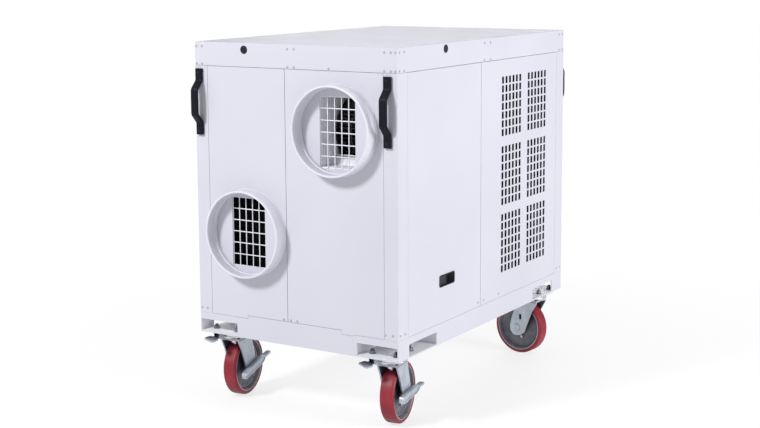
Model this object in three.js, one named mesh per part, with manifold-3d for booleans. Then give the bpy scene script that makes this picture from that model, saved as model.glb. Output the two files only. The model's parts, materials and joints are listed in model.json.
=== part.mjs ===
// Portable air conditioner on four swivel casters, built as separate sheet-metal and running parts.
// Millimetres. +Z up, floor at Z = 0, duct face toward -Y, grille side toward +X.
import * as THREE from 'three';
import { mergeVertices } from 'three/addons/utils/BufferGeometryUtils.js';
import Module from 'manifold-3d';

const wasm = await Module();
wasm.setup();

// ---- driving dimensions ----
const GAP = 0.3; // clearance between touching pieces
const SHEET = 4; // panel and rail thickness
const WIDTH = 780; // cabinet, along X
const DEPTH = 1200; // cabinet, along Y
const HEIGHT = 980; // cabinet, from its underside to its top
const CASTER_HEIGHT = 241; // floor to cabinet underside
const LEFT = -391;
const FRONT = -593;
const RIGHT = LEFT + WIDTH;
const REAR = FRONT + DEPTH;
const UNDER = CASTER_HEIGHT;
const TOP = UNDER + HEIGHT;

const POST_FRONT_LEG = 50; // corner post, on the front and rear faces
const POST_SIDE_LEG = 60; // corner post, on the side faces
const BASE_TOP = 68; // base frame, above the underside
const PANEL_TOP = 902; // top edge of every panel, above the underside
const PANEL_SPLIT = 361; // seam between the two front panels
const SIDE_SPLIT = 545; // seam between access panel and grille panel

const POCKET_TOP = 45;
const POCKET_X = 154;
const POCKET_Y = 245;
const POCKET_SIDE_START = 66;
const POCKET_FLOOR = 5;

const COLLAR_RADIUS = 145;
const COLLAR_WALL = 7;
const COLLAR_LENGTH = 50;
const COLLAR_STEP_RADIUS = 134;
const COLLAR_STEP_LENGTH = 14;
const SUPPLY = { x: 561, z: 717 }; // upper collar axis
const RETURN = { x: 213, z: 359 }; // lower collar axis
const DUCT_OPENING = { w: 132, h: 228 };
const SUPPLY_OPENING = { x: 561, z: 708 };
const RETURN_OPENING = { x: 209, z: 359 };
const GUARD = { w: 142, h: 238, thick: 3, cols: 5, rows: 6, wire: 3.4 };

const HANDLE = { bottom: 670, length: 225, width: 28, proud: 36 };
const HANDLE_X = { front: { left: 20, right: 747 }, rear: { left: 23, right: 757 } };
const PLUG_RADIUS = 13.5;

const GRILLE_SHEET = 1.8;
const SLOT = { y: 15.4, z: 24.3, pitchY: 26.7, pitchZ: 30.3, cols: 6, rows: 7 };
const SLOT_GROUP_Y = [698, 900];
const SLOT_GROUP_Z = [155.5, 394, 636];

const LATCH = { y0: 258, y1: 360, z0: 188, z1: 228, rim: 3, flange: 1.7, depth: 24, wall: 2 };
const PADDLE = { length: 46, height: 28, thick: 4, recess: 3 };

const FAN = { x: 390, z: 500, orifice: 235, tip: 212, hub: 45, blades: 5, front: 1116, rear: 1166 };
const BLOWER = { y: 182, z: 700, wheel: 105, inlet: 84, low: 118, high: 142, sweep: 231 };

const WHEEL = { radius: 101.5, width: 50, rimRadius: 89, segments: 24 };
const TRAIL = 52;
const FORK = { inner: 30, thick: 5, crownBottom: 205.5, crownTop: 213.7 };
const AXLE_RADIUS = 9.5;
const BRAKE = { inner: 35.3, web: 39.3, lip: 56 };
const LOCK = { hinge: 63, z: 221.5, slope: 10, reach: 43 };
const CASTERS = [
  { name: 'caster_fl', x: 78, y: 87, yaw: 7.6, brakeTilt: 11, lock: 245 },
  { name: 'caster_fr', x: 702, y: 87, yaw: 9.2, brakeTilt: 0, lock: 238 },
  { name: 'caster_rl', x: 66, y: 1098, yaw: -75 },
  { name: 'caster_rr', x: 714, y: 1098, yaw: 83 },
];

// ---- materials ----
function material(color, roughness, metalness) {
  return { color, roughness, metalness };
}

const WHITE = material('#e4e3ea', 0.45, 0.05);
const BLACK = material('#22232d', 0.4, 0.05);
const DARK_WIRE = material('#3a3a42', 0.5, 0.6);
const LIGHT_WIRE = material('#c9c9d0', 0.45, 0.3);
const GALVANISED = material('#b3b7bd', 0.4, 0.8);
const FIN = material('#585c63', 0.55, 0.7);
const COMPRESSOR_BLACK = material('#1b1b1e', 0.35, 0.3);
const MOTOR_GREY = material('#4a4d52', 0.45, 0.5);
const BLADE_GREY = material('#84888d', 0.45, 0.4);
const ZINC = material('#9aa2ac', 0.4, 0.85);
const IRON = material('#4f4f58', 0.6, 0.5);
const TREAD_RED = material('#8f1f2b', 0.5, 0);
const STEEL = material('#8d8f94', 0.35, 0.9);
const CONTROL_GREY = material('#54565c', 0.5, 0.1);

// ---- geometry helpers ----
function outward(geometry) {
  const position = geometry.getAttribute('position');
  const index = geometry.getIndex();
  const a = new THREE.Vector3();
  const b = new THREE.Vector3();
  const c = new THREE.Vector3();
  const kept = [];
  let volume = 0;
  for (let i = 0; i < index.count; i += 3) {
    const ids = [index.getX(i), index.getX(i + 1), index.getX(i + 2)];
    if (ids[0] === ids[1] || ids[1] === ids[2] || ids[0] === ids[2]) continue;
    a.fromBufferAttribute(position, ids[0]);
    b.fromBufferAttribute(position, ids[1]);
    c.fromBufferAttribute(position, ids[2]);
    volume += a.dot(b.cross(c));
    kept.push(ids);
  }
  const order = volume < 0 ? [0, 2, 1] : [0, 1, 2];
  geometry.setIndex(kept.flatMap((ids) => order.map((k) => ids[k])));
  return geometry;
}

function weld(geometry) {
  const welded = geometry.clone();
  welded.deleteAttribute('normal');
  welded.deleteAttribute('uv');
  return outward(mergeVertices(welded, 1e-3));
}

function solid(geometry) {
  const welded = weld(geometry);
  const vertProperties = new Float32Array(welded.getAttribute('position').array);
  const triVerts = new Uint32Array(welded.getIndex().array);
  return new wasm.Manifold(new wasm.Mesh({ numProp: 3, vertProperties, triVerts }));
}

function fromSolid(body) {
  const data = body.getMesh();
  const geometry = new THREE.BufferGeometry();
  geometry.setAttribute('position', new THREE.BufferAttribute(new Float32Array(data.vertProperties), 3));
  geometry.setIndex(new THREE.BufferAttribute(new Uint32Array(data.triVerts), 1));
  return geometry;
}

function combine(added, removed = []) {
  let body = solid(added[0]);
  for (const geometry of added.slice(1)) body = body.add(solid(geometry));
  for (const geometry of removed) body = body.subtract(solid(geometry));
  return fromSolid(body);
}

function box(x0, x1, y0, y1, z0, z1) {
  const geometry = new THREE.BoxGeometry(x1 - x0, y1 - y0, z1 - z0);
  return geometry.translate((x0 + x1) / 2, (y0 + y1) / 2, (z0 + z1) / 2);
}

// A box in cabinet coordinates: from the left side, the front face and the underside.
function cabinetBox(x0, x1, y0, y1, z0, z1) {
  return box(LEFT + x0, LEFT + x1, FRONT + y0, FRONT + y1, UNDER + z0, UNDER + z1);
}

function shapeOf(points) {
  return new THREE.Shape(points.map(([u, v]) => new THREE.Vector2(u, v)));
}

function extrude(points, depth) {
  return new THREE.ExtrudeGeometry(shapeOf(points), { depth, bevelEnabled: false });
}

// Outline in (y, z), extruded from x0 to x1.
function prismX(points, x0, x1) {
  const basis = new THREE.Matrix4().makeBasis(
    new THREE.Vector3(0, 1, 0), new THREE.Vector3(0, 0, 1), new THREE.Vector3(1, 0, 0));
  return extrude(points, x1 - x0).applyMatrix4(basis).translate(x0, 0, 0);
}

// Outline in (x, z), extruded from y0 to y1.
function prismY(points, y0, y1) {
  const basis = new THREE.Matrix4().makeBasis(
    new THREE.Vector3(1, 0, 0), new THREE.Vector3(0, 0, 1), new THREE.Vector3(0, -1, 0));
  return extrude(points, y1 - y0).applyMatrix4(basis).translate(0, y1, 0);
}

// Outline in (radius, distance along the axis), turned about X, Y or Z through the origin.
function turned(profile, axis, segments = 24) {
  const points = profile.map(([r, t]) => new THREE.Vector2(r, t));
  const geometry = new THREE.LatheGeometry(points, segments);
  if (axis === 'Z') geometry.rotateX(Math.PI / 2);
  if (axis === 'X') geometry.rotateZ(-Math.PI / 2);
  return geometry;
}

function cylinder(radius, t0, t1, axis, segments = 24) {
  return turned([[0, t0], [radius, t0], [radius, t1], [0, t1]], axis, segments);
}

function rounded(u0, u1, v0, v1, radius, steps = 3) {
  const centres = [
    [u1 - radius, v0 + radius, -90], [u1 - radius, v1 - radius, 0],
    [u0 + radius, v1 - radius, 90], [u0 + radius, v0 + radius, 180],
  ];
  return centres.flatMap(([cu, cv, start]) => Array.from({ length: steps + 1 }, (_, k) => {
    const angle = THREE.MathUtils.degToRad(start + (90 * k) / steps);
    return [cu + radius * Math.cos(angle), cv + radius * Math.sin(angle)];
  }));
}

function ringPoints(radius, count, phase = 0) {
  return Array.from({ length: count }, (_, k) => {
    const angle = phase + (2 * Math.PI * k) / count;
    return [radius * Math.cos(angle), radius * Math.sin(angle)];
  });
}

const part = new THREE.Group();
part.name = 'portable_air_conditioner';

function addMesh(name, geometry, look) {
  const faceted = weld(geometry).toNonIndexed();
  faceted.computeVertexNormals();
  const mesh = new THREE.Mesh(faceted, new THREE.MeshStandardMaterial({ ...look, name }));
  mesh.name = name;
  part.add(mesh);
}

// ---- base frame with four open corner pockets ----
function baseFrame() {
  const added = [
    cabinetBox(0, WIDTH, 0, SHEET, 0, BASE_TOP),
    cabinetBox(200, 569, 0, SHEET, 0, BASE_TOP + 9.5),
    cabinetBox(0, WIDTH, DEPTH - SHEET, DEPTH, 0, BASE_TOP),
    cabinetBox(0, SHEET, 0, DEPTH, 0, BASE_TOP),
    cabinetBox(WIDTH - SHEET, WIDTH, 0, DEPTH, 0, BASE_TOP),
    cabinetBox(0, WIDTH, 0, DEPTH, BASE_TOP - SHEET - 2, BASE_TOP - 2),
  ];
  const removed = [cabinetBox(569, 618, -1, SHEET + 1, BASE_TOP - 4, BASE_TOP + 1)];
  const xRanges = [[0, POCKET_X + 5], [WIDTH - POCKET_X - 5, WIDTH]];
  const yRanges = [[0, POCKET_Y + SHEET], [DEPTH - POCKET_Y - SHEET, DEPTH]];
  for (const [x0, x1] of xRanges) {
    for (const [y0, y1] of yRanges) {
      added.push(cabinetBox(x0, x1, y0, y1, 0, POCKET_FLOOR));
      added.push(cabinetBox(x0, x1, y0, y1, POCKET_TOP, POCKET_TOP + SHEET));
      const innerX = x0 === 0 ? x1 - SHEET : x0;
      const innerY = y0 === 0 ? y1 - SHEET : y0;
      added.push(cabinetBox(innerX, innerX + SHEET, y0, y1, 0, POCKET_TOP + SHEET));
      added.push(cabinetBox(x0, x1, innerY, innerY + SHEET, 0, POCKET_TOP + SHEET));
      const windowX = x0 === 0 ? [SHEET, POCKET_X] : [WIDTH - POCKET_X, WIDTH - SHEET];
      const faceY = y0 === 0 ? [-1, SHEET] : [DEPTH - SHEET, DEPTH + 1];
      removed.push(cabinetBox(...windowX, ...faceY, POCKET_FLOOR, POCKET_TOP));
      const faceX = x0 === 0 ? [-1, SHEET] : [WIDTH - SHEET, WIDTH + 1];
      const windowY = y0 === 0
        ? [POCKET_SIDE_START, POCKET_Y - 4] : [DEPTH - POCKET_Y, DEPTH - POCKET_SIDE_START - 16];
      removed.push(cabinetBox(...faceX, ...windowY, POCKET_FLOOR, POCKET_TOP));
    }
  }
  return combine(added, removed);
}

// ---- top rail band and cover ----
function topRail() {
  const ledge = HEIGHT - SHEET - GAP;
  return combine(
    [cabinetBox(0, WIDTH, 0, DEPTH, PANEL_TOP, HEIGHT)],
    [
      cabinetBox(20, WIDTH - 20, 20, DEPTH - 20, PANEL_TOP - 1, HEIGHT + 1),
      cabinetBox(SHEET, WIDTH - SHEET, SHEET, DEPTH - SHEET, PANEL_TOP - 1, ledge - SHEET),
      cabinetBox(SHEET, WIDTH - SHEET, SHEET, DEPTH - SHEET, ledge, HEIGHT + 1),
    ]);
}

function topCover() {
  const edge = SHEET + GAP;
  return cabinetBox(edge, WIDTH - edge, edge, DEPTH - edge, HEIGHT - SHEET, HEIGHT);
}

// ---- corner posts, L section ----
function cornerPost(atRight, atRear) {
  const z0 = BASE_TOP + GAP;
  const z1 = PANEL_TOP - GAP;
  const legX = atRight ? [WIDTH - POST_FRONT_LEG, WIDTH] : [0, POST_FRONT_LEG];
  const legY = atRear ? [DEPTH - POST_SIDE_LEG, DEPTH] : [0, POST_SIDE_LEG];
  const skinX = atRight ? [WIDTH - SHEET, WIDTH] : [0, SHEET];
  const skinY = atRear ? [DEPTH - SHEET, DEPTH] : [0, SHEET];
  return combine([cabinetBox(...legX, ...skinY, z0, z1), cabinetBox(...skinX, ...legY, z0, z1)]);
}

// ---- front panels, each with one duct opening ----
function ductOpening(centre) {
  const { w, h } = DUCT_OPENING;
  return cabinetBox(
    centre.x - w / 2, centre.x + w / 2, -1, SHEET + 1, centre.z - h / 2, centre.z + h / 2);
}

function frontPanelLeft() {
  const x0 = POST_FRONT_LEG + 0.8;
  const x1 = PANEL_SPLIT - 0.8;
  const z0 = BASE_TOP + 0.8;
  const step = cabinetBox(199, x1 + 1, -1, SHEET + 1, z0 - 1, BASE_TOP + 10.3);
  return combine(
    [cabinetBox(x0, x1, 0, SHEET, z0, PANEL_TOP - 0.8)], [ductOpening(RETURN_OPENING), step]);
}

function frontPanelRight() {
  const x0 = PANEL_SPLIT + 0.8;
  const x1 = WIDTH - POST_FRONT_LEG - 0.8;
  const low = BASE_TOP - 3.2;
  const steps = [
    cabinetBox(x0 - 1, 569.8, -1, SHEET + 1, low - 1, BASE_TOP + 10.3),
    cabinetBox(617.2, x1 + 1, -1, SHEET + 1, low - 1, BASE_TOP + 0.8),
  ];
  return combine(
    [cabinetBox(x0, x1, 0, SHEET, low, PANEL_TOP - 0.8)], [ductOpening(SUPPLY_OPENING), ...steps]);
}

// ---- duct collars and wire guards ----
function collar(centre) {
  const inner = COLLAR_RADIUS - COLLAR_WALL;
  const back = -GAP;
  const profile = [
    [COLLAR_STEP_RADIUS, back], [COLLAR_RADIUS, back], [COLLAR_RADIUS, -COLLAR_LENGTH],
    [inner, -COLLAR_LENGTH], [inner, -COLLAR_STEP_LENGTH], [COLLAR_STEP_RADIUS, -COLLAR_STEP_LENGTH],
    [COLLAR_STEP_RADIUS, back],
  ];
  return turned(profile, 'Y', 32).translate(LEFT + centre.x, FRONT, UNDER + centre.z);
}

function wireGuard(centre) {
  const y0 = SHEET + GAP;
  const y1 = y0 + GUARD.thick;
  const { w, h, cols, rows, wire } = GUARD;
  const pitchX = DUCT_OPENING.w / cols;
  const pitchZ = DUCT_OPENING.h / rows;
  const plate = cabinetBox(
    centre.x - w / 2, centre.x + w / 2, y0, y1, centre.z - h / 2, centre.z + h / 2);
  const holes = [];
  for (let i = 0; i < cols; i += 1) {
    for (let j = 0; j < rows; j += 1) {
      const x = centre.x - DUCT_OPENING.w / 2 + i * pitchX;
      const z = centre.z - DUCT_OPENING.h / 2 + j * pitchZ;
      holes.push(cabinetBox(
        x + wire / 2, x + pitchX - wire / 2, y0 - 1, y1 + 1, z + wire / 2, z + pitchZ - wire / 2));
    }
  }
  return combine([plate], holes);
}

// ---- side panels ----
function grillePanel() {
  const holes = [];
  for (const groupY of SLOT_GROUP_Y) {
    for (const groupZ of SLOT_GROUP_Z) {
      for (let i = 0; i < SLOT.cols; i += 1) {
        for (let j = 0; j < SLOT.rows; j += 1) {
          const y = groupY + i * SLOT.pitchY;
          const z = groupZ + j * SLOT.pitchZ;
          holes.push(cabinetBox(WIDTH - GRILLE_SHEET - 1, WIDTH + 1, y, y + SLOT.y, z, z + SLOT.z));
        }
      }
    }
  }
  const panel = cabinetBox(
    WIDTH - GRILLE_SHEET, WIDTH, SIDE_SPLIT + 0.8, DEPTH - POST_SIDE_LEG - 0.8,
    BASE_TOP + 0.8, PANEL_TOP - 0.8);
  return combine([panel], holes);
}

function latchOutline(inset, radius) {
  return rounded(
    FRONT + LATCH.y0 + inset, FRONT + LATCH.y1 - inset,
    UNDER + LATCH.z0 + inset, UNDER + LATCH.z1 - inset, radius);
}

function accessPanel() {
  const panel = cabinetBox(
    WIDTH - SHEET, WIDTH, POST_SIDE_LEG + 0.8, SIDE_SPLIT - 0.8, BASE_TOP + 0.8, PANEL_TOP - 0.8);
  return combine([panel], [prismX(latchOutline(LATCH.rim, 5), RIGHT - SHEET - 1, RIGHT + 1)]);
}

function latchDish() {
  const flangeIn = RIGHT + GAP;
  const flangeOut = RIGHT + 2;
  const body = prismX(latchOutline(LATCH.rim + GAP, 5), RIGHT - LATCH.depth, flangeOut - 0.5);
  const flange = prismX(latchOutline(0, 7), flangeIn, flangeOut);
  const well = prismX(
    latchOutline(LATCH.rim + GAP + LATCH.wall, 4), RIGHT - LATCH.depth + LATCH.wall, flangeOut + 1);
  return combine([flange, body], [well]);
}

function latchPaddle() {
  const y0 = FRONT + LATCH.y0 + 7;
  const middle = UNDER + (LATCH.z0 + LATCH.z1) / 2;
  const outer = RIGHT - PADDLE.recess;
  const outline = rounded(
    y0, y0 + PADDLE.length, middle - PADDLE.height / 2, middle + PADDLE.height / 2, 3, 2);
  const lip = box(
    outer - 9, outer - 1, y0 + PADDLE.length - 5, y0 + PADDLE.length - 1, middle - 10, middle + 10);
  return combine([prismX(outline, outer - PADDLE.thick, outer), lip]);
}

function leftPanel() {
  return cabinetBox(
    0, SHEET, POST_SIDE_LEG + 0.8, DEPTH - POST_SIDE_LEG - 0.8, BASE_TOP + 0.8, PANEL_TOP - 0.8);
}

// ---- carrying handles: flat feet, sloped arms and a grip parallel to the face ----
function handle(end, side) {
  const face = end === 'rear' ? REAR : FRONT;
  const out = end === 'rear' ? 1 : -1;
  const x = LEFT + HANDLE_X[end][side];
  const { proud, length } = HANDLE;
  const outer = [[GAP, 0], [6, 0], [9, 42], [proud, 68]];
  const inner = [[proud - 12, 75], [GAP, 48]];
  const mirrored = (points) => points.map(([d, z]) => [d, length - z]).reverse();
  const outline = [...outer, ...mirrored(outer), ...mirrored(inner), ...inner];
  const placed = outline.map(([d, z]) => [face + out * d, UNDER + HANDLE.bottom + z]);
  return prismX(placed, x - HANDLE.width / 2, x + HANDLE.width / 2);
}

// ---- blanking plugs ----
function plug(direction, axis) {
  const profile = [[0, GAP], [PLUG_RADIUS, GAP], [PLUG_RADIUS - 1.2, 1.9], [0, 2]];
  return turned(profile.map(([r, t]) => [r, direction * t]), axis, 20);
}

function frontPlug() {
  return plug(-1, 'Y').translate(LEFT + 202, FRONT, UNDER + 958);
}

function sidePlug() {
  return plug(1, 'X').translate(RIGHT, FRONT + 300, UNDER + 961);
}

// ---- rear panel, fan guard, fan and motor ----
function rearPanel() {
  const edge = POST_FRONT_LEG + 0.8;
  const panel = cabinetBox(
    edge, WIDTH - edge, DEPTH - SHEET, DEPTH, BASE_TOP + 0.8, PANEL_TOP - 0.8);
  const orifice = cylinder(FAN.orifice, REAR - SHEET - 1, REAR + 1, 'Y', 32)
    .translate(LEFT + FAN.x, 0, UNDER + FAN.z);
  return combine([panel], [orifice]);
}

function fanGuard() {
  const y0 = REAR + GAP;
  const y1 = y0 + 6;
  const ring = (r0, r1) => turned([[r0, y0], [r1, y0], [r1, y1], [r0, y1], [r0, y0]], 'Y', 32);
  const spokes = [0, 45, 90, 135].map((angle) => box(-240, 240, y0 + 1, y1 - 1, -2.5, 2.5)
    .rotateY(THREE.MathUtils.degToRad(angle)));
  const hub = cylinder(55, y0, y1, 'Y', 24);
  const added = [ring(232, 248), ring(172, 177), ring(112, 117), hub, ...spokes];
  return combine(added).translate(LEFT + FAN.x, 0, UNDER + FAN.z);
}

function condenserFan() {
  const y0 = FRONT + FAN.front;
  const y1 = FRONT + FAN.rear;
  const added = [cylinder(FAN.hub, y0, y1, 'Y', 20)];
  for (let k = 0; k < FAN.blades; k += 1) {
    const blade = new THREE.BoxGeometry(FAN.tip - FAN.hub + 8, 3, 95)
      .rotateX(THREE.MathUtils.degToRad(24))
      .translate((FAN.tip + FAN.hub - 8) / 2, (y0 + y1) / 2, 0)
      .rotateY((2 * Math.PI * k) / FAN.blades);
    added.push(blade);
  }
  return combine(added).translate(LEFT + FAN.x, 0, UNDER + FAN.z);
}

function fanMotor() {
  const y0 = FRONT + 990;
  const arm = FRONT + 1092;
  const reach = FAN.tip + 20;
  const added = [
    cylinder(62, y0, arm, 'Y', 20),
    cylinder(8, arm - 1, FRONT + FAN.front - GAP, 'Y', 12),
    box(-reach, reach, arm - 8, arm, -15, 15),
    box(-reach, -reach + 6, arm - 8, REAR - SHEET - GAP, -15, 15),
    box(reach - 6, reach, arm - 8, REAR - SHEET - GAP, -15, 15),
  ];
  return combine(added).translate(LEFT + FAN.x, 0, UNDER + FAN.z);
}

// ---- refrigeration parts ----
function condenserCoil() {
  return combine([
    cabinetBox(702, 742, 600, 1100, 110, 870),
    cabinetBox(700, 744, 592, 601, 100, 880),
    cabinetBox(700, 744, 1099, 1108, 100, 880),
  ]);
}

function evaporatorCoil() {
  return combine([
    cabinetBox(80, 350, 62, 112, BASE_TOP + GAP, 560),
    cabinetBox(72, 81, 60, 114, BASE_TOP + GAP, 570),
    cabinetBox(349, 358, 60, 114, BASE_TOP + GAP, 570),
  ]);
}

function compressor() {
  const z0 = UNDER + BASE_TOP + GAP;
  const profile = [
    [0, z0 + 8], [92, z0 + 8], [105, z0 + 40], [105, z0 + 280], [70, z0 + 335], [0, z0 + 345],
  ];
  const body = turned(profile, 'Z', 24);
  const foot = box(-115, 115, -115, 115, z0, z0 + 12);
  return combine([body, foot]).translate(LEFT + 240, FRONT + 840, 0);
}

function bulkhead() {
  return cabinetBox(SHEET + 0.5, WIDTH - SHEET - 0.5, 558, 561, BASE_TOP + GAP, 896);
}

// ---- supply blower: scroll housing and squirrel-cage wheel ----
function scrollOutline(inset) {
  const half = DUCT_OPENING.h / 2;
  const mouthTop = SUPPLY_OPENING.z + half - inset;
  const mouthLow = SUPPLY_OPENING.z - half + inset;
  const front = SHEET + GAP + GUARD.thick + GAP - (inset > 0 ? 2 : 0);
  const arc = Array.from({ length: 19 }, (_, k) => {
    const t = k / 18;
    const angle = THREE.MathUtils.degToRad(90 - BLOWER.sweep * t);
    const r = BLOWER.high - (BLOWER.high - BLOWER.low) * t - inset;
    return [BLOWER.y + r * Math.cos(angle), BLOWER.z + r * Math.sin(angle)];
  });
  const points = [[front, mouthLow], [front, mouthTop], ...arc, [70, mouthLow]];
  return points.map(([y, z]) => [FRONT + y, UNDER + z]);
}

function blowerHousing() {
  const x0 = LEFT + SUPPLY_OPENING.x - DUCT_OPENING.w / 2;
  const x1 = x0 + DUCT_OPENING.w;
  const inlet = cylinder(BLOWER.inlet, x0 - 10, x1 + 10, 'X', 24)
    .translate(0, FRONT + BLOWER.y, UNDER + BLOWER.z);
  return combine([prismX(scrollOutline(0), x0 - 3, x1 + 3)], [prismX(scrollOutline(3), x0, x1), inlet]);
}

function blowerWheel() {
  const half = 58;
  const rim = BLOWER.wheel;
  const throat = rim - 16;
  const hoop = (t0, t1) => turned(
    [[throat, t0], [rim, t0], [rim, t1], [throat, t1], [throat, t0]], 'X', 24);
  const added = [
    cylinder(rim, -2, 2, 'X', 24),
    cylinder(24, -22, 22, 'X', 16),
    hoop(-half, -half + 4),
    hoop(half - 4, half),
  ];
  for (let k = 0; k < 16; k += 1) {
    const vane = box(-half + 1, half - 1, -1.5, 1.5, throat + 2, rim - 2);
    added.push(vane.rotateX((2 * Math.PI * (k + 0.5)) / 16));
  }
  return combine(added).translate(LEFT + SUPPLY.x, FRONT + BLOWER.y, UNDER + BLOWER.z);
}

// ---- controls on the rear face ----
const CONTROL = { x0: 300, x1: 480, z0: 780, z1: 870, knobX: 390, knobZ: 825 };
const INLET = { x: 332, radius: 17, proud: 14 };

function controlPlate() {
  const outline = rounded(
    LEFT + CONTROL.x0, LEFT + CONTROL.x1, UNDER + CONTROL.z0, UNDER + CONTROL.z1, 8);
  const inlet = cylinder(INLET.radius, REAR + 1, REAR + INLET.proud, 'Y')
    .translate(LEFT + INLET.x, 0, UNDER + CONTROL.knobZ);
  return combine([prismY(outline, REAR + GAP, REAR + 3), inlet]);
}

function thermostatKnob() {
  const y0 = REAR + 3 + GAP;
  const body = turned([[0, y0], [22, y0], [20, y0 + 16], [0, y0 + 17]], 'Y', 20);
  const grip = box(-4, 4, y0 + 10, y0 + 22, -19, 19);
  return combine([body, grip]).translate(LEFT + CONTROL.knobX, 0, UNDER + CONTROL.knobZ);
}

// ---- casters, modelled at the king pin with the wheel trailing toward +Y ----
function casterPlate(lock) {
  const top = UNDER - GAP;
  const cup = [
    [0, top - 7], [47, top - 7], [50, top - 20], [44, FORK.crownTop + GAP], [0, FORK.crownTop + GAP],
  ];
  const added = [box(-57, 57, -57, 57, top - 8, top), turned(cup, 'Z')];
  if (lock !== undefined) {
    const angle = THREE.MathUtils.degToRad(lock);
    for (const side of [-1, 1]) {
      const lug = box(LOCK.hinge - 7, LOCK.hinge + 7, side * 18 - 2.5, side * 18 + 2.5, 216, top - 7);
      const root = box(30, LOCK.hinge + 7, side * 18 - 2.5, side * 18 + 2.5, top - 13, top - 7);
      added.push(lug.rotateZ(angle), root.rotateZ(angle));
    }
  }
  return combine(added);
}

function casterFork() {
  const outer = FORK.inner + FORK.thick;
  const legOutline = [
    [-36, FORK.crownTop], [-36, FORK.crownTop - 9], [-16, 168], [9, 107], [16, 88], [31, 74],
    [TRAIL, 69], [68, 74], [78, 88], [80, 108], [72, 140], [55, 188], [52, FORK.crownTop],
  ];
  const crown = [
    [-outer, -36], [-FORK.inner, -36], [-18, -31], [18, -31],
    [FORK.inner, -36], [outer, -36], [outer, 52], [-outer, 52],
  ];
  const bore = cylinder(AXLE_RADIUS + 0.4, -outer - 1, outer + 1, 'X', 16)
    .translate(0, TRAIL, WHEEL.radius);
  return combine(
    [
      extrude(crown, FORK.crownTop - FORK.crownBottom).translate(0, 0, FORK.crownBottom),
      prismX(legOutline, -outer, -FORK.inner),
      prismX(legOutline, FORK.inner, outer),
    ],
    [bore]);
}

function hexagon(radius, x0, x1) {
  return prismX(ringPoints(radius, 6), x0, x1);
}

function casterAxle(hasBrake) {
  const outer = FORK.inner + FORK.thick + GAP;
  const reach = hasBrake ? BRAKE.web + GAP : outer;
  return combine([
    cylinder(AXLE_RADIUS, -outer - 1, reach + 1, 'X', 16),
    hexagon(15, -outer - 8, -outer),
    hexagon(hasBrake ? 12.8 : 15, reach, reach + 9),
  ]).translate(0, TRAIL, WHEEL.radius);
}

function facetedAtBottom(profile) {
  const half = Math.PI / WHEEL.segments;
  return turned(profile, 'X', WHEEL.segments).rotateX(half).translate(0, TRAIL, WHEEL.radius);
}

function casterHub() {
  const bore = AXLE_RADIUS + 0.7;
  const side = [[bore, 27], [24, 27], [28, 14], [70, 9], [76, 21], [WHEEL.rimRadius, 23]];
  const mirrored = side.map(([r, t]) => [r, -t]).reverse();
  return facetedAtBottom([...side, ...mirrored, side[0]]);
}

function casterTread() {
  const vertex = WHEEL.radius / Math.cos(Math.PI / WHEEL.segments);
  const half = WHEEL.width / 2;
  const inner = WHEEL.rimRadius + 0.5;
  const profile = [
    [inner, -half + 1], [vertex - 9, -half], [vertex - 2, -half + 4], [vertex, -half + 10],
    [vertex, half - 10], [vertex - 2, half - 4], [vertex - 9, half], [inner, half - 1], [inner, -half + 1],
  ];
  return facetedAtBottom(profile);
}

// Wheel-brake pedal: a channel rocking on the axle outside the +X leg, with a foot tab at its rear.
function brakeLever(tilt) {
  const outline = [
    [-74, -13], [-40, -19], [38, -19], [60, -8], [66, 6], [40, 18], [-40, 17], [-74, 13], [-79, 0],
  ];
  const channel = [
    [-80, -8], [-36, -15.5], [36, -15.5], [56, -5], [70, 8], [39, 14.5], [-39, 13.5], [-80, 8],
  ];
  const bore = cylinder(AXLE_RADIUS + 0.4, BRAKE.inner - 1, BRAKE.web + 1, 'X', 16);
  const tab = box(BRAKE.inner, BRAKE.lip, 58, 104, 2, 9);
  return combine(
    [prismX(outline, BRAKE.inner, BRAKE.lip), tab],
    [prismX(channel, BRAKE.web, BRAKE.lip + 1), bore])
    .rotateX(THREE.MathUtils.degToRad(tilt))
    .translate(0, TRAIL, WHEEL.radius);
}

// Swivel-lock lever between the plate's two lugs, sloping down to a broad foot pad.
function swivelLock(lock) {
  const arm = box(-6, 22, -15, 15, -3, 3);
  const pad = box(16, LOCK.reach, -32, 32, -3, 3);
  return combine([arm, pad])
    .rotateY(THREE.MathUtils.degToRad(LOCK.slope))
    .translate(LOCK.hinge, 0, LOCK.z)
    .rotateZ(THREE.MathUtils.degToRad(lock));
}

function addCaster({ name, x, y, yaw, brakeTilt, lock }) {
  const hasBrake = brakeTilt !== undefined;
  const turn = THREE.MathUtils.degToRad(yaw);
  const place = (geometry, angle) => geometry.rotateZ(angle).translate(LEFT + x, FRONT + y, 0);
  addMesh(`${name}_plate`, place(casterPlate(lock), 0), ZINC);
  addMesh(`${name}_fork`, place(casterFork(), turn), ZINC);
  addMesh(`${name}_axle`, place(casterAxle(hasBrake), turn), STEEL);
  addMesh(`${name}_hub`, place(casterHub(), turn), IRON);
  addMesh(`${name}_tread`, place(casterTread(), turn), TREAD_RED);
  if (hasBrake) addMesh(`${name}_brake_lever`, place(brakeLever(brakeTilt), turn), ZINC);
  if (lock !== undefined) addMesh(`${name}_swivel_lock`, place(swivelLock(lock), 0), ZINC);
}

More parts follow.
